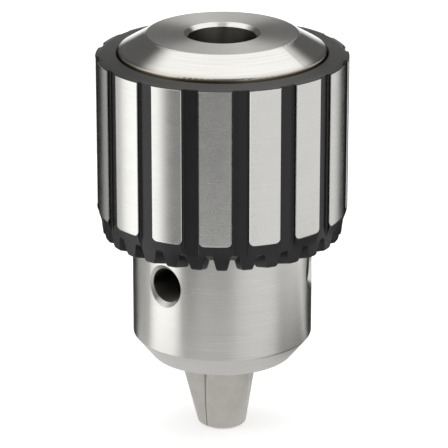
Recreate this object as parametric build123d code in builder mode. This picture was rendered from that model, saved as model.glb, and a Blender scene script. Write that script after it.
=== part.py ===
from build123d import *
import math
import os

# A keyed drill chuck with plain bearings, B16 mount, 3 to 16 mm capacity. Millimetres.
# The origin is the centre of the flat rear face. +Z points out of the rear face, and the
# jaws point towards -Z. Azimuths are in degrees, from -Y towards +X.

# Jaws
jaw_tilt = 15
jaw_radius = 5.5
jaw_tip_z = -95.8
jaw_height = 59.5
jaw_azimuths = (60, 180, 300)
jaw_face_gap = 0.16
jaw_tip_break = 0.35
smallest_drill_radius = 1.5
largest_drill_radius = 8.0
tail_break = 0.5
tail_clear_radius = 26.8

# Thread between the jaws and the split nut
thread_pitch = 2.5
ridge_height = 1.0
ridge_tip_width = 0.7
flank_angle = 20
thread_clearance = 0.12
root_clearance = 0.2
jaw_thread_start = 26
jaw_groove_bend = 18.0
thread_lead_in_turns = 4

# Body
body_radius = 23.84
rear_face_radius = 17.3
rear_cone_drop = 3.8
rear_edge_round = 0.5
nut_groove_radius = 17.0
nut_groove_top = -33.8
nut_groove_bottom = -45.2
nose_radius = 20.9
nose_face_z = -77.5
nose_chamfer_radial = 4.3
nose_chamfer_axial = 5.3
nose_edge_round = 0.5
jaw_bore_clearance = 0.05
jaw_bore_end_z = -10.5

# B16 arbor socket and the bore for the tool
socket_mouth_radius = 15.733 / 2
socket_depth = 26
socket_taper = 1 / 20.02
socket_chamfer = 0.9
passage_radius = 5.0
tool_bore_radius = 8.4
tool_bore_top = -33

# Key pilot holes, which take a K3 chuck key
key_azimuths = (0, 120, 240)
key_hole_radius = 4.0
key_hole_z = -55.6
key_hole_floor = 10.5
key_countersink_radius = 5.1

# Sleeve
sleeve_radius = 29.0
sleeve_bore_radius = 24.15
sleeve_top_z = -4.5
rim_flat_radius = 27.6
rim_flat_drop = 0.25
rim_chamfer_drop = 0.65
rim_inner_round = 0.25
rim_flat_round = 1.0
rim_edge_round = 0.2
relief_radius = 26.95
relief_top_z = -8.5
relief_bottom_z = -32.0
nut_seat_radius = 24.0
ledge_radius = 21.3
land_bottom_z = -41.3
land_end_round = 2.0
skirt_radius = 28.1
skirt_top_z = -43.9
skirt_top_round = 8.0
skirt_bottom_radius = 27.7
tooth_tip_z = -47.4
tooth_tip_slope = 0.32
skirt_edge_round = 0.8
ledge_edge_round = 0.3

# Flutes between the ground lands of the sleeve
flute_count = 16
flute_width = 3.96
flute_azimuth = 2.65
flute_corner = 0.45
flute_top_z = -4.5
flute_top_round = 0.8
flute_edge_break = 0.12

# Teeth for the chuck key
tooth_count = 30
tooth_gap_azimuth = 9.3
gap_root_z = -43.9
gap_root_width = 1.6
gap_opening = 3.5
gap_root_slope = 0.53
gap_root_round = 0.45
tooth_tip_round = 0.75
tooth_tip_crown = 0.12
tooth_tip_land = 0.9
tooth_tip_fall = 0.3

# Split nut
nut_top_z = -34.0
nut_bottom_z = -45.0
nut_joint_gap = 0.1

# Worked out from the driving dimensions
tilt_sin = math.sin(math.radians(jaw_tilt))
tilt_cos = math.cos(math.radians(jaw_tilt))
tilt_tan = math.tan(math.radians(jaw_tilt))
flank_tan = math.tan(math.radians(flank_angle))
jaw_half_width = jaw_radius / tilt_cos
radial_travel = largest_drill_radius - smallest_drill_radius
axial_travel = radial_travel / tilt_tan
jaw_travel = axial_travel / tilt_cos
sleeve_turns = axial_travel / thread_pitch
ledge_bottom_z = tooth_tip_z - tooth_tip_slope * (skirt_bottom_radius - ledge_radius)
run_out = 1.0


def radial(azimuth):
    """Unit vector away from the axis at an azimuth."""
    angle = math.radians(azimuth)
    return Vector(math.sin(angle), -math.cos(angle), 0)


def jaw_back_radius(z):
    """Distance from the chuck axis to the outer line of the jaws at a height."""
    return tilt_tan * (z - jaw_tip_z) + jaw_half_width


def jaw_plane(azimuth):
    """Plane square to a jaw's own axis, where that axis meets the chuck axis."""
    direction = radial(azimuth) * tilt_sin + Vector(0, 0, tilt_cos)
    return Plane(origin=(0, 0, jaw_tip_z), z_dir=direction)


os.makedirs("parts", exist_ok=True)

# Body: a turned bar with a cone at the rear, a groove for the nut and a plain nose.
with BuildPart() as chuck_body:
    with BuildSketch(Plane.XZ) as body_profile:
        with BuildLine():
            Polyline(
                (0, 0),
                (rear_face_radius, 0),
                (body_radius, -rear_cone_drop),
                (body_radius, nut_groove_top),
                (nut_groove_radius, nut_groove_top),
                (nut_groove_radius, nut_groove_bottom),
                (nose_radius, nut_groove_bottom),
                (nose_radius, nose_face_z + nose_chamfer_axial),
                (nose_radius - nose_chamfer_radial, nose_face_z),
                (0, nose_face_z),
                close=True,
            )
        make_face()
        corners = body_profile.vertices()
        rear_corners = corners.filter_by_position(Axis.Y, -rear_cone_drop, 0)
        fillet([v for v in rear_corners if v.X > 1], rear_edge_round)
        corners = body_profile.vertices()
        nose_corners = corners.filter_by_position(
            Axis.Y, nose_face_z, nose_face_z + nose_chamfer_axial
        )
        fillet([v for v in nose_corners if v.X > 1], nose_edge_round)
    revolve(axis=Axis.Z)
    # Arbor socket, then the narrow passage behind it, then the tool bore.
    socket_end_radius = socket_mouth_radius - socket_depth * socket_taper / 2
    with BuildSketch(Plane.XZ):
        with BuildLine():
            Polyline(
                (0, run_out),
                (socket_mouth_radius + socket_chamfer + run_out, run_out),
                (socket_mouth_radius, -socket_chamfer),
                (socket_end_radius, -socket_depth),
                (passage_radius, -socket_depth),
                (passage_radius, tool_bore_top),
                (tool_bore_radius, tool_bore_top),
                (tool_bore_radius, nose_face_z - run_out),
                (0, nose_face_z - run_out),
                close=True,
            )
        make_face()
    revolve(axis=Axis.Z, mode=Mode.SUBTRACT)
    # Inclined jaw bores, open at the nose and blind at the rear.
    for azimuth in jaw_azimuths:
        with BuildSketch(jaw_plane(azimuth)):
            Circle(jaw_radius + jaw_bore_clearance)
        extrude(amount=(jaw_bore_end_z - jaw_tip_z) / tilt_cos, mode=Mode.SUBTRACT)
    # Key pilot holes with a 90 degree countersink.
    countersink_depth = key_countersink_radius - key_hole_radius
    for azimuth in key_azimuths:
        key_floor = radial(azimuth) * key_hole_floor + Vector(0, 0, key_hole_z)
        key_plane = Plane(origin=key_floor, z_dir=radial(azimuth))
        with BuildSketch(key_plane):
            Circle(key_hole_radius)
        extrude(amount=nose_radius - key_hole_floor + run_out, mode=Mode.SUBTRACT)
        mouth_height = nose_radius - key_hole_floor - countersink_depth
        with BuildSketch(key_plane.offset(mouth_height)):
            Circle(key_hole_radius)
        extrude(amount=countersink_depth + run_out, taper=-45, mode=Mode.SUBTRACT)
chuck_body.part.label = "chuck_body"
export_step(chuck_body.part, "parts/chuck_body.step")

# Gap between two key teeth. The teeth are those of a bevel gear: roots and tips both slope
# down towards the axis, the roots more steeply, so a gap is deepest at the rim.
gap_spread = (gap_opening - gap_root_width) / 2 / (gap_root_z - tooth_tip_z)
with BuildPart() as tooth_gap:
    for reach in (sleeve_radius, ledge_radius - run_out):
        share = reach / skirt_bottom_radius
        inwards = skirt_bottom_radius - reach
        root_z = gap_root_z - gap_root_slope * inwards
        root_half = gap_root_width / 2 * share
        tip_z = tooth_tip_z - tooth_tip_slope * inwards + tooth_tip_crown
        tip_half = root_half + gap_spread * (root_z - tip_z)
        flare = tip_half + tooth_tip_land * share
        flare_z = tip_z - tooth_tip_fall
        with BuildSketch(Plane.XZ.offset(reach)) as gap_profile:
            with BuildLine():
                Polyline(
                    (-root_half, root_z),
                    (root_half, root_z),
                    (tip_half, tip_z),
                    (flare, flare_z),
                    (flare, flare_z - run_out),
                    (-flare, flare_z - run_out),
                    (-flare, flare_z),
                    (-tip_half, tip_z),
                    close=True,
                )
            make_face()
            roots = gap_profile.vertices().sort_by(Axis.Y)[-2:]
            fillet(roots, gap_root_round * share)
            tips = gap_profile.vertices().sort_by_distance((tip_half, tip_z))[:1]
            tips += gap_profile.vertices().sort_by_distance((-tip_half, tip_z))[:1]
            fillet(tips, tooth_tip_round * share)
    loft(ruled=True)

# Flute between two ground lands. It runs down to the sloping ends of the lands, and the
# corners of its upper end are rounded.
flute_half = flute_width / 2
floor_edge = math.sqrt(skirt_radius**2 - flute_half**2)
land_edge = math.sqrt(sleeve_radius**2 - flute_half**2) - flute_edge_break
flute_flare = sleeve_radius + run_out - land_edge
flute_bottom_z = tooth_tip_z + 2 * run_out
with BuildPart() as flute:
    with BuildSketch(Plane.XY.offset(flute_bottom_z)) as flute_profile:
        with BuildLine():
            Polyline(
                (-flute_half, -floor_edge),
                (-flute_half, -sleeve_radius - run_out),
                (flute_half, -sleeve_radius - run_out),
                (flute_half, -floor_edge),
            )
            ThreePointArc((flute_half, -floor_edge), (0, -skirt_radius), (-flute_half, -floor_edge))
        make_face()
        fillet(flute_profile.vertices().sort_by(Axis.Y)[-2:], flute_corner)
    extrude(amount=flute_top_z - flute_bottom_z)
    with BuildSketch(Plane.XZ) as flute_outline:
        with Locations((0, (flute_top_z + flute_bottom_z) / 2)):
            Rectangle(flute_width, flute_top_z - flute_bottom_z)
        fillet(flute_outline.vertices().sort_by(Axis.Y)[-2:], flute_top_round)
    extrude(amount=sleeve_radius + 2 * run_out, mode=Mode.INTERSECT)
    with BuildSketch(Plane.XY.offset(flute_bottom_z)):
        with BuildLine():
            Polyline(
                (-flute_half, -land_edge),
                (-flute_half - flute_flare, -land_edge - flute_flare),
                (flute_half + flute_flare, -land_edge - flute_flare),
                (flute_half, -land_edge),
                close=True,
            )
        make_face()
    extrude(amount=flute_top_z - flute_top_round - flute_bottom_z)

# Sleeve: one shell that grips the nut, with flutes outside and key teeth below.
with BuildPart() as toothed_sleeve:
    with BuildSketch(Plane.XZ) as sleeve_profile:
        relief_slope = relief_radius - nut_seat_radius
        with BuildLine():
            Polyline(
                (sleeve_bore_radius, sleeve_top_z),
                (rim_flat_radius, sleeve_top_z - rim_flat_drop),
                (sleeve_radius, sleeve_top_z - rim_chamfer_drop),
                (sleeve_radius, land_bottom_z),
                (skirt_radius, skirt_top_z),
                (skirt_bottom_radius, tooth_tip_z),
                (ledge_radius, ledge_bottom_z),
                (ledge_radius, nut_bottom_z),
                (nut_seat_radius, nut_bottom_z),
                (nut_seat_radius, relief_bottom_z),
                (relief_radius, relief_bottom_z + relief_slope),
                (relief_radius, relief_top_z - relief_slope),
                (sleeve_bore_radius, relief_top_z),
                close=True,
            )
        make_face()
        for corner, corner_round in (
            ((skirt_bottom_radius, tooth_tip_z), skirt_edge_round),
            ((ledge_radius, ledge_bottom_z), ledge_edge_round),
            ((skirt_radius, skirt_top_z), skirt_top_round),
            ((sleeve_radius, land_bottom_z), land_end_round),
            ((sleeve_bore_radius, sleeve_top_z), rim_inner_round),
            ((rim_flat_radius, sleeve_top_z - rim_flat_drop), rim_flat_round),
            ((sleeve_radius, sleeve_top_z - rim_chamfer_drop), rim_edge_round),
        ):
            fillet(sleeve_profile.vertices().sort_by_distance(corner)[0], corner_round)
    revolve(axis=Axis.Z)
    with PolarLocations(0, flute_count, flute_azimuth):
        add(flute.part, mode=Mode.SUBTRACT)
    with PolarLocations(0, tooth_count, tooth_gap_azimuth):
        add(tooth_gap.part, mode=Mode.SUBTRACT)
toothed_sleeve.part.label = "toothed_sleeve"
export_step(toothed_sleeve.part, "parts/toothed_sleeve.step")

# Internal thread of the nut: a trapezoid groove wound up a cone, made in half turns.
thread_start_z = nut_bottom_z - thread_pitch
thread_half_turns = math.ceil(2 * (nut_top_z - nut_bottom_z) / thread_pitch)
thread_half_turns += thread_lead_in_turns
groove_depth = ridge_height + root_clearance
groove_half = (thread_pitch - ridge_tip_width) / 2
groove_reach = 0.5
half_turn_overlap = 1.02
nut_thread = []
for turn in range(thread_half_turns):
    start_z = thread_start_z + turn * thread_pitch / 2
    crest_radius = jaw_back_radius(start_z) - ridge_height
    with BuildPart() as half_turn:
        with BuildLine() as thread_path:
            Helix(
                pitch=thread_pitch / tilt_cos,
                height=thread_pitch / 2 * half_turn_overlap,
                radius=crest_radius,
                center=(0, 0, start_z),
                cone_angle=jaw_tilt,
            )
        thread_plane = Plane(
            origin=(crest_radius, 0, start_z), x_dir=(1, 0, 0), z_dir=(0, -1, 0)
        )
        with BuildSketch(thread_plane):
            with BuildLine():
                Polyline(
                    (-groove_reach, groove_half + groove_reach * flank_tan),
                    (-groove_reach, -groove_half - groove_reach * flank_tan),
                    (groove_depth, -groove_half + groove_depth * flank_tan),
                    (groove_depth, groove_half - groove_depth * flank_tan),
                    close=True,
                )
            make_face()
        sweep(path=thread_path.line, is_frenet=True)
    nut_thread.append(half_turn.part)

# Split nut: a ring broken in two, so that it goes into the groove of the body.
for half_name, side in (("split_nut_half_a", 1), ("split_nut_half_b", -1)):
    with BuildPart() as nut_half:
        with BuildSketch(Plane.XZ):
            with BuildLine():
                Polyline(
                    (nut_seat_radius, nut_top_z),
                    (nut_seat_radius, nut_bottom_z),
                    (jaw_back_radius(nut_bottom_z) - ridge_height, nut_bottom_z),
                    (jaw_back_radius(nut_top_z) - ridge_height, nut_top_z),
                    close=True,
                )
            make_face()
        revolve(axis=Axis.Z)
        for turn, groove in enumerate(nut_thread):
            add(groove, rotation=(0, 0, 180 * turn), mode=Mode.SUBTRACT)
        split(bisect_by=Plane(origin=(0, side * nut_joint_gap / 2, 0), z_dir=(0, side, 0)))
    nut_half.part.label = half_name
    export_step(nut_half.part, f"parts/{half_name}.step")

# Jaws: round bars, threaded on the back, with two wedge faces and a narrow grip.
ridge_origin_z = thread_start_z + thread_pitch / 2
jaw_groove_half = ridge_tip_width / 2 + thread_clearance / math.cos(math.radians(flank_angle))
for index, azimuth in enumerate(jaw_azimuths):
    outward = radial(azimuth)
    along = Vector(math.cos(math.radians(azimuth)), math.sin(math.radians(azimuth)), 0)
    with BuildPart() as jaw:
        with BuildSketch(jaw_plane(azimuth).offset(-jaw_radius)):
            Circle(jaw_radius)
        extrude(amount=jaw_height / tilt_cos + jaw_radius)
        chamfer(jaw.faces().sort_by(Axis.Z)[-1].edges(), tail_break)
        # The nut meets each jaw a third of a turn later, so the grooves start at its height.
        first_z = ridge_origin_z + thread_pitch * (azimuth - 90) / 360
        groove_z = first_z + thread_pitch * math.ceil(
            (jaw_tip_z + jaw_thread_start - first_z) / thread_pitch
        )
        while groove_z < jaw_tip_z + jaw_height + thread_pitch / 2:
            floor_radius = jaw_back_radius(groove_z) - groove_depth
            lead = math.atan(thread_pitch / 2 / math.pi / floor_radius)
            ring_axis = Vector(0, 0, math.cos(lead)) - along * math.sin(lead)
            groove_plane = Plane(
                origin=outward * floor_radius + Vector(0, 0, groove_z),
                x_dir=outward,
                z_dir=outward.cross(ring_axis),
            )
            wide = groove_depth + 2 * ridge_height
            with BuildSketch(groove_plane):
                with BuildLine():
                    Polyline(
                        (0, -jaw_groove_half),
                        (wide, -jaw_groove_half - wide * flank_tan),
                        (wide, jaw_groove_half + wide * flank_tan),
                        (0, jaw_groove_half),
                        close=True,
                    )
                make_face()
            bend_centre = groove_plane.from_local_coords((-jaw_groove_bend, 0, 0))
            revolve(axis=Axis(bend_centre, ring_axis), mode=Mode.SUBTRACT)
            groove_z += thread_pitch
        # The back of the tail is cut to clear the sleeve when the chuck is open.
        with Locations(outward * -radial_travel):
            Cylinder(tail_clear_radius, -3 * jaw_tip_z, mode=Mode.INTERSECT)
        split(bisect_by=Plane.XY.offset(jaw_tip_z))
        for face_azimuth, side in ((azimuth + 60, -1), (azimuth - 60, 1)):
            face_angle = math.radians(face_azimuth)
            face_normal = Vector(math.cos(face_angle), math.sin(face_angle), 0) * side
            split(bisect_by=Plane(origin=face_normal * (jaw_face_gap / 2), z_dir=face_normal))
        split(bisect_by=Plane(origin=outward * smallest_drill_radius, z_dir=outward))
        tip_edges = jaw.faces().sort_by(Axis.Z)[0].edges().filter_by(GeomType.ELLIPSE)
        chamfer(tip_edges, jaw_tip_break)
    jaw.part.label = f"jaw_{index + 1}"
    export_step(jaw.part, f"parts/jaw_{index + 1}.step")

print(f"jaw travel {jaw_travel:.4f} mm over {sleeve_turns * 360:.3f} degrees")
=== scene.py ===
import math
import bpy
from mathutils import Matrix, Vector


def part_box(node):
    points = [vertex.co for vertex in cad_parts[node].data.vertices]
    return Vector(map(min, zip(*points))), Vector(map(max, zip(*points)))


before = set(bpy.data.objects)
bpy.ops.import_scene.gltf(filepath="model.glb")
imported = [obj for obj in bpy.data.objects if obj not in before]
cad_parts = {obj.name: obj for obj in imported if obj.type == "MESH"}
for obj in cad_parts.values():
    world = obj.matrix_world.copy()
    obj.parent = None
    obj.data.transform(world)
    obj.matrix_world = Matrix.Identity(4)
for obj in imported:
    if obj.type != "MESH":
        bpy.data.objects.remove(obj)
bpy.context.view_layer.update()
mm = 0.001
noiseMiddle = 0.5  # a noise texture swings about this


class Wire:
    # a node's output that can be used in ordinary sums
    def __init__(self, recipe, socket):
        self.recipe = recipe
        self.socket = socket

    def sum(self, operation, *values):
        return self.recipe.node("ShaderNodeMath", {"operation": operation}, dict(enumerate(values)))

    def __add__(self, other):
        return self.sum("ADD", self, other)

    def __radd__(self, other):
        return self.sum("ADD", other, self)

    def __sub__(self, other):
        return self.sum("SUBTRACT", self, other)

    def __rsub__(self, other):
        return self.sum("SUBTRACT", other, self)

    def __mul__(self, other):
        return self.sum("MULTIPLY", self, other)

    def __rmul__(self, other):
        return self.sum("MULTIPLY", other, self)

    def __truediv__(self, other):
        return self.sum("DIVIDE", self, other)

    def __abs__(self):
        return self.sum("ABSOLUTE", self)

    def __pow__(self, power):
        return self.sum("POWER", self, power)

    def atLeast(self, low):
        return self.sum("MAXIMUM", self, low)

    # kept between -half and half, for angles that go round
    def wrapped(self, half):
        return self.sum("WRAP", self, half, -half)

    # 0 below low, 1 above high, with a soft step between them
    def step(self, low, high):
        return self.recipe.node(
            "ShaderNodeMapRange",
            {"interpolation_type": "SMOOTHSTEP"},
            {"Value": self, "From Min": low, "From Max": high},
        )


class Recipe:
    # the nodes of a new material, or of the world that is given
    def __init__(self, owner):
        self.owner = bpy.data.materials.new(owner) if isinstance(owner, str) else owner
        self.owner.use_nodes = True
        self.tree = self.owner.node_tree
        self.tree.nodes.clear()

    def node(self, kind, settings, values, output=0):
        made = self.tree.nodes.new(kind)
        for key, value in settings.items():
            setattr(made, key, value)
        for key, value in values.items():
            if isinstance(value, Wire):
                self.tree.links.new(value.socket, made.inputs[key])
            else:
                made.inputs[key].default_value = value
        return Wire(self, made.outputs[output]) if made.outputs else None

    # a Mix node has one set of sockets for each type of data: 6, 7 and 2 are its colours
    def mix(self, factor, first, second):
        return self.node(
            "ShaderNodeMix", {"data_type": "RGBA"}, {0: factor, 6: first, 7: second}, 2
        )

    def noise(self, place, scale, detail, roughness):
        return self.node(
            "ShaderNodeTexNoise",
            {},
            {"Vector": place, "Scale": scale, "Detail": detail, "Roughness": roughness},
        )

    def bump(self, strength, distance, height):
        return self.node(
            "ShaderNodeBump", {}, {"Strength": strength, "Distance": distance, "Height": height}
        )

    def parts(self, vector):
        split = self.node("ShaderNodeSeparateXYZ", {}, {0: vector}).socket.node
        return [Wire(self, output) for output in split.outputs]

    # millimetres from the chuck's axis, along it, and the turn about it in degrees
    def chuckCoordinates(self, place):
        x, y, z = [part / mm for part in self.parts(place)]
        radius = (x * x + y * y) ** 0.5
        turn = x.sum("ARCTAN2", x, y * -1) * math.degrees(1)
        return radius, z, turn

    # lines that a lathe or a grinder leaves: the same all the way round, or nearly
    def latheLines(self, radius, z, turn, spacing, breakUp):
        angle = turn * math.radians(1)
        vector = self.node(
            "ShaderNodeCombineXYZ",
            {},
            {0: radius / spacing, 1: z / spacing, 2: angle.sum("SINE", angle) * breakUp},
        )
        return self.node(
            "ShaderNodeTexNoise",
            {"noise_dimensions": "4D"},
            {
                "Vector": vector,
                "W": angle.sum("COSINE", angle) * breakUp,
                "Scale": 1.0,
                "Detail": 3.0,
                "Roughness": 0.6,
            },
        )

    # coordinates that stay with the piece when it moves
    def objectPlace(self):
        return self.node("ShaderNodeTexCoord", {}, {}, "Object")

    # values of the Principled shader's sockets, which make up the whole finish
    def principled(self, values):
        self.finish(self.node("ShaderNodeBsdfPrincipled", {}, values))
        return self.owner

    def finish(self, surface):
        kind = "World" if isinstance(self.owner, bpy.types.World) else "Material"
        self.node("ShaderNodeOutput" + kind, {}, {"Surface": surface})


def paint(nodes, material):
    for name in nodes:
        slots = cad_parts[name].data.materials
        slots.clear()
        slots.append(material)


# Bright body. Heights and radii are in millimetres in the chuck's own frame, and a pair is
# where a soft border begins and ends.
bodyLook = {
    "steel": (0.68, 0.67, 0.645, 1),
    "scratch": (0.5, 0.49, 0.47, 1),
    # painted shade: the colour that the insides of the deep key holes are painted, standing in for
    # the shade that falls in them
    "paintedHoleShade": (0.16, 0.155, 0.14, 1),
    # painted shade colour for the gap between body and sleeve
    "paintedGapShadeColour": (0.15, 0.115, 0.06, 1),
    "noseRoughness": 0.3,
    "faceRoughness": 0.39,
    "coneRoughness": 0.17,
    "socketRoughness": 0.15,
    "keyHoleRougher": 0.3,
    "lineSpacing": 0.17,
    "lineBreakUp": 1.1,
    "lineDepth": 0.1,
    "lineHeight": 0.2 * mm,
    "lineRoughness": 0.14,
    "streakSpacing": 3.5,
    "streakBreakUp": 1.6,
    "streakRoughness": 0.08,
    "scratched": (0.35, 0.8),
    "scratchAmount": 0.4,
    "streakAmount": 0.1,
    "anisotropic": 0.8,
    "anisotropicTurn": 0.25,
    "facedFrom": (-0.3, -0.1),
    "keyHoleHeight": -55.6,
    "keyHoleEvery": 120.0,
    "keyHoleRadius": (4.03, 4.12),
    "keyHoleMouth": (20.3, 20.8),
    "keyHoleFloor": (9.0, 9.5),
    "faceHeight": (-0.25, -0.1),
    "faceEdge": (17.1, 17.4),
    "coneHeight": (-4.3, -3.9),
    "socketEdge": (8.65, 8.8),
    "socketFloor": (-27, -26.5),
    # where the painted shade at the body-sleeve gap lies, and how strong and streaked it is
    "paintedGapShadeHeight": (-4.5, -3.1),
    "paintedGapShadeBottom": (-12, -6),
    "paintedGapShadeRadius": (20, 22),
    "paintedGapShadeStreaks": 0.8,
    "paintedGapShadeAmount": 0.55,
}


def bodyMaterial(look):
    recipe = Recipe("bright_steel")
    radius, z, turn = recipe.chuckCoordinates(recipe.objectPlace())
    # only the faced end has rings, so the radius counts there alone
    faced = z.step(*look["facedFrom"])
    ringed = radius * faced
    lines = recipe.latheLines(ringed, z, turn, look["lineSpacing"], look["lineBreakUp"])
    streaks = recipe.latheLines(ringed, z, turn, look["streakSpacing"], look["streakBreakUp"])
    # the inside of the key holes, which gets the painted shade colour and a rougher finish
    offKey = turn.wrapped(look["keyHoleEvery"] / 2) * math.radians(1)
    across = offKey.sum("SINE", offKey) * radius
    fromKeyAxis = (across * across + (z - look["keyHoleHeight"]) ** 2.0) ** 0.5
    inKeyHole = 1 - fromKeyAxis.step(*look["keyHoleRadius"])
    inKeyHole = inKeyHole * (1 - radius.step(*look["keyHoleMouth"]))
    inKeyHole = inKeyHole * radius.step(*look["keyHoleFloor"])
    pastSocket = radius.step(*look["socketEdge"])
    pastFace = radius.step(*look["faceEdge"])
    onFace = z.step(*look["faceHeight"]) * (1 - pastFace) * pastSocket
    onCone = z.step(*look["coneHeight"]) * pastFace
    inSocket = (1 - pastSocket) * z.step(*look["socketFloor"])
    # painted shade: a brownish, streaked darkening of the body at and inside the gap between body
    # and sleeve, where shade falls
    paintedGapShade = (1 - z.step(*look["paintedGapShadeHeight"])) * z.step(*look["paintedGapShadeBottom"])
    paintedGapShade = paintedGapShade * radius.step(*look["paintedGapShadeRadius"])
    paintedGapShade = paintedGapShade * (streaks * look["paintedGapShadeStreaks"] + look["paintedGapShadeAmount"])
    scratched = lines.step(*look["scratched"]) * look["scratchAmount"]
    tone = recipe.mix(scratched + streaks * look["streakAmount"], look["steel"], look["scratch"])
    # the painted shade at the gap between body and sleeve is mixed in here
    tone = recipe.mix(paintedGapShade, tone, look["paintedGapShadeColour"])
    roughness = (
        look["noseRoughness"]
        + onFace * (look["faceRoughness"] - look["noseRoughness"])
        + onCone * (look["coneRoughness"] - look["noseRoughness"])
        + inSocket * (look["socketRoughness"] - look["noseRoughness"])
        + (lines - noiseMiddle) * look["lineRoughness"]
        + (streaks - noiseMiddle) * look["streakRoughness"]
        + inKeyHole * look["keyHoleRougher"]
    )
    return recipe.principled(
        {
            # the key holes' insides take the painted shade colour here, standing in for the shade
            # in these recesses
            "Base Color": recipe.mix(inKeyHole, tone, look["paintedHoleShade"]),
            "Metallic": 1.0,
            "Roughness": roughness,
            "Anisotropic": look["anisotropic"],
            "Anisotropic Rotation": look["anisotropicTurn"],
            "Normal": recipe.bump(look["lineDepth"], look["lineHeight"], lines),
        }
    )


# Black sleeve with ground lands, measured as the body is
sleeveLook = {
    "black": (0.003, 0.003, 0.0036, 1),
    "worn": (0.008, 0.008, 0.0085, 1),
    "rim": (0.05, 0.049, 0.048, 1),
    "ground": (0.68, 0.675, 0.655, 1),
    "scratch": (0.5, 0.495, 0.48, 1),
    "scratchAmount": 0.3,
    "blackRoughness": 0.38,
    "patchRoughness": 0.14,
    "groundRoughness": 0.27,
    "lineRoughness": 0.1,
    "landCount": 16,
    "landTurn": 13.9,
    "landHalfWidth": 3.713,
    "landCorner": 1.25,
    "landCornerEdge": (-0.04, 0.06),
    "landTop": (-5.18, -5.12),
    "landBottom": -41.3,
    "landRadius": 29.0,
    "landFrom": (28.74, 28.82),
    "rimFrom": (-5.25, -4.95),
    "lineSpacing": 0.2,
    "lineBreakUp": 1.4,
    "lineRadius": 0.01,
    "lineDepth": 0.25,
    "grainScale": 9000.0,
    "patchScale": 260.0,
    "bumpDepth": 0.12,
    "bumpHeight": 0.1 * mm,
    "blackIor": 1.44,
    "anisotropic": 0.82,
    "anisotropicTurn": 0.25,
}


def sleeveMaterial(look):
    recipe = Recipe("black_oxide_and_ground_lands")
    place = recipe.objectPlace()
    radius, z, turn = recipe.chuckCoordinates(place)
    # the lands are bright as far as their rounded lower corners
    every = 360 / look["landCount"]
    along = (turn - look["landTurn"]).wrapped(every / 2) * math.radians(look["landRadius"])
    side = (abs(along) - (look["landHalfWidth"] - look["landCorner"])).atLeast(0.0)
    below = ((look["landBottom"] + look["landCorner"]) - z).atLeast(0.0)
    corner = (side * side + below * below) ** 0.5
    cornerEdge = [look["landCorner"] + offset for offset in look["landCornerEdge"]]
    ground = (1 - corner.step(*cornerEdge)) * (1 - z.step(*look["landTop"]))
    ground = ground * radius.step(*look["landFrom"])
    lines = recipe.latheLines(
        radius * look["lineRadius"], z, turn, look["lineSpacing"], look["lineBreakUp"]
    )
    grain = recipe.noise(place, look["grainScale"], detail=3.0, roughness=0.6)
    patches = recipe.noise(place, look["patchScale"], detail=3.0, roughness=0.55)
    black = recipe.mix(patches, look["black"], look["worn"])
    black = recipe.mix(z.step(*look["rimFrom"]), black, look["rim"])
    bright = recipe.mix(lines * look["scratchAmount"], look["ground"], look["scratch"])
    roughness = (
        look["blackRoughness"]
        + (patches - noiseMiddle) * look["patchRoughness"]
        + ground * (look["groundRoughness"] - look["blackRoughness"])
        + (lines - noiseMiddle) * ground * look["lineRoughness"]
    )
    height = grain * (1 - ground) + lines * ground * look["lineDepth"]
    return recipe.principled(
        {
            "Base Color": recipe.mix(ground, black, bright),
            "Metallic": ground,
            "Roughness": roughness,
            "IOR": look["blackIor"],
            "Anisotropic": look["anisotropic"],
            "Anisotropic Rotation": look["anisotropicTurn"],
            "Normal": recipe.bump(look["bumpDepth"], look["bumpHeight"], height),
        }
    )


# Jaws and nut
jawLook = {
    "name": "ground_jaw_steel",
    "steel": (0.6, 0.585, 0.55, 1),
    "shade": (0.47, 0.45, 0.41, 1),
    "roughness": 0.34,
}
nutLook = {
    "name": "oiled_nut_steel",
    "steel": (0.2, 0.19, 0.17, 1),
    "shade": (0.1, 0.09, 0.08, 1),
    "roughness": 0.42,
}
plainSteelLook = {
    "lineSpacing": 0.3,
    "lineBreakUp": 2.0,
    "lineRadius": 0.2,
    "lineRoughness": 0.12,
    "patchScale": 350.0,
    "patchRoughness": 0.1,
    "bumpDepth": 0.08,
    "bumpHeight": 0.1 * mm,
}


def plainSteel(piece):
    look = plainSteelLook | piece
    recipe = Recipe(look["name"])
    place = recipe.objectPlace()
    radius, z, turn = recipe.chuckCoordinates(place)
    lines = recipe.latheLines(
        radius * look["lineRadius"], z, turn, look["lineSpacing"], look["lineBreakUp"]
    )
    patches = recipe.noise(place, look["patchScale"], detail=4.0, roughness=0.6)
    roughness = look["roughness"] + (lines - noiseMiddle) * look["lineRoughness"]
    roughness = roughness + (patches - noiseMiddle) * look["patchRoughness"]
    return recipe.principled(
        {
            "Base Color": recipe.mix(patches, look["steel"], look["shade"]),
            "Metallic": 1.0,
            "Roughness": roughness,
            "Normal": recipe.bump(look["bumpDepth"], look["bumpHeight"], lines),
        }
    )


paint(("chuck_body",), bodyMaterial(bodyLook))
paint(("toothed_sleeve",), sleeveMaterial(sleeveLook))
paint(("jaw_1", "jaw_2", "jaw_3"), plainSteel(jawLook))
paint(("split_nut_half_a", "split_nut_half_b"), plainSteel(nutLook))
print("materials made")

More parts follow.
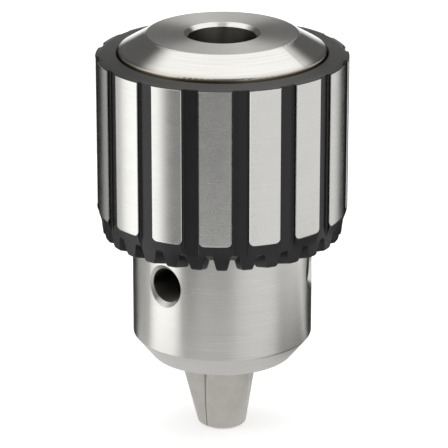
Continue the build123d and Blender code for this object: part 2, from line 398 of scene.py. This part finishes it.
# Camera: azimuth and elevation in degrees, distance and height in metres
cameraLook = {
    "azimuth": 39.5,
    "elevation": 20.08,
    "distance": 0.7076,
    "aimHeight": -0.0463,
    "lens": 244.7,
    "shiftX": 0.0038,
    "near": 0.01,
    "far": 20.0,
}
facing = math.radians(cameraLook["azimuth"])
tilt = math.radians(cameraLook["elevation"])
forward = Vector((math.sin(facing), -math.cos(facing), 0))
right = Vector((math.cos(facing), math.sin(facing), 0))
fromAim = forward * math.cos(tilt) + Vector((0, 0, math.sin(tilt)))
cameraData = bpy.data.cameras.new("camera")
camera = bpy.data.objects.new("camera", cameraData)
bpy.context.scene.collection.objects.link(camera)
bpy.context.scene.camera = camera
cameraData.lens = cameraLook["lens"]
cameraData.shift_x = cameraLook["shiftX"]
cameraData.clip_start = cameraLook["near"]
cameraData.clip_end = cameraLook["far"]
camera.location = Vector((0, 0, cameraLook["aimHeight"])) + fromAim * cameraLook["distance"]
camera.rotation_mode = "QUATERNION"
camera.rotation_quaternion = (fromAim * -1).to_track_quat("-Z", "Y")

# Studio: headings are counted from the camera's, to the right, in degrees, and rises are
# degrees above the horizon. Panels are lights round the chuck, and flags are dark boards.
studioLook = {
    "colour": (1, 0.995, 0.985, 1),
    "room": 0.3,
    "background": 0.95,
    "ceiling": 1.4,
    "ceilingFrom": (33, 50),
    "ceilingTilt": 0.03,
    "ceilingGap": 0.4,
    "gapHeading": (22, 34),
    "gapRise": (72, 80),
    "backWall": 0.13,
    "backHeading": (118, 132),
    "backRise": (2, 8),
    "panels": [
        {"from": -103, "to": -56, "edge": 8, "bright": 1.3},
        {"from": -138, "to": -100, "edge": 3, "bright": 0.2},
        {"from": 16, "to": 131, "edge": 9, "bright": 0.66},
        {"from": 169, "to": 191, "edge": 6, "bright": 1.1},
    ],
    "flags": [
        {"from": -167, "to": -140, "edge": 5, "bright": -0.28},
        {"from": 134, "to": 167, "edge": 5, "bright": -0.28},
    ],
}


def boardLight(heading, board):
    middle = (board["from"] + board["to"]) / 2
    half = (board["to"] - board["from"]) / 2
    off = abs((heading - middle).wrapped(180))
    return (1 - off.step(half - board["edge"], half + board["edge"])) * board["bright"]


def studioWorld(look):
    world = bpy.data.worlds.new("studio")
    recipe = Recipe(world)
    east, north, up = recipe.parts(recipe.node("ShaderNodeTexCoord", {}, {}, "Generated"))
    level = (east * east + north * north) ** 0.5
    heading = east.sum("ARCTAN2", east, north * -1) * math.degrees(1) - cameraLook["azimuth"]
    rise = up.sum("ARCTAN2", up, level) * math.degrees(1)
    offCamera = heading.wrapped(180)
    sides = boardLight(heading, look["panels"][0])
    for board in look["panels"][1:] + look["flags"]:
        sides = sides + boardLight(heading, board)
    sides = sides + look["room"]
    behind = abs(offCamera).step(*look["backHeading"]) * rise.step(*look["backRise"])
    sides = sides * (1 - behind) + behind * look["backWall"]
    above = (rise + offCamera * look["ceilingTilt"]).step(*look["ceilingFrom"])
    gap = (1 - abs(offCamera).step(*look["gapHeading"])) * (1 - rise.step(*look["gapRise"]))
    ceiling = look["ceiling"] * (1 - gap) + gap * look["ceilingGap"]
    glow = sides * (1 - above) + above * ceiling
    seen = recipe.node("ShaderNodeLightPath", {}, {}, "Is Camera Ray")
    glow = glow * (1 - seen) + seen * look["background"]
    recipe.finish(
        recipe.node("ShaderNodeBackground", {}, {"Color": look["colour"], "Strength": glow})
    )
    return world


bpy.context.scene.world = studioWorld(studioLook)
bpy.context.scene.view_settings.view_transform = "Standard"

# Floor, just under the closed jaws. The steel mirrors only a small pale part of it, and a
# dark patch at the right. Sizes and places are in metres.
floorGap = 0.2 * mm
floorLook = {
    "name": "floor",
    "size": (6, 6),
    "right": 0.0,
    "forward": 0.0,
    "above": 0.0,
    "pale": (0.93, 0.93, 0.93, 1),
    "glow": 0.42,
}
mirroredLooks = [
    {
        "name": "mirrored_floor",
        "size": (0.12, 0.185),
        "right": 0.0,
        "forward": 0.055,
        "above": 0.0,
        "pale": (0.7, 0.7, 0.7, 1),
        "glow": 0.0,
    },
    {
        "name": "mirrored_shade",
        "size": (0.07, 0.062),
        "right": 0.063,
        "forward": 0.0,
        "above": 0.1 * mm,
        "pale": (0.1, 0.1, 0.1, 1),
        "glow": 0.0,
    },
]
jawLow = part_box("jaw_1")[0]
floorLevel = jawLow.z - floorGap


def addFloor(look):
    bpy.ops.object.select_all(action="DESELECT")
    place = forward * look["forward"] + right * look["right"]
    place.z = floorLevel + look["above"]
    bpy.ops.mesh.primitive_plane_add(size=1, location=place)
    floor = bpy.context.object
    floor.name = look["name"]
    floor.scale = (look["size"][0], look["size"][1], 1)
    floor.rotation_euler.z = facing
    recipe = Recipe(look["name"])
    matt = {
        "Base Color": look["pale"],
        "Roughness": 0.8,
        "Specular IOR Level": 0.1,
        "Emission Color": (1, 1, 1, 1),
        "Emission Strength": look["glow"],
    }
    floor.data.materials.append(recipe.principled(matt))
    return floor


addFloor(floorLook).visible_glossy = False
for look in mirroredLooks:
    patch = addFloor(look)
    patch.visible_camera = False
    patch.visible_diffuse = False
    patch.visible_shadow = False
print("studio made")
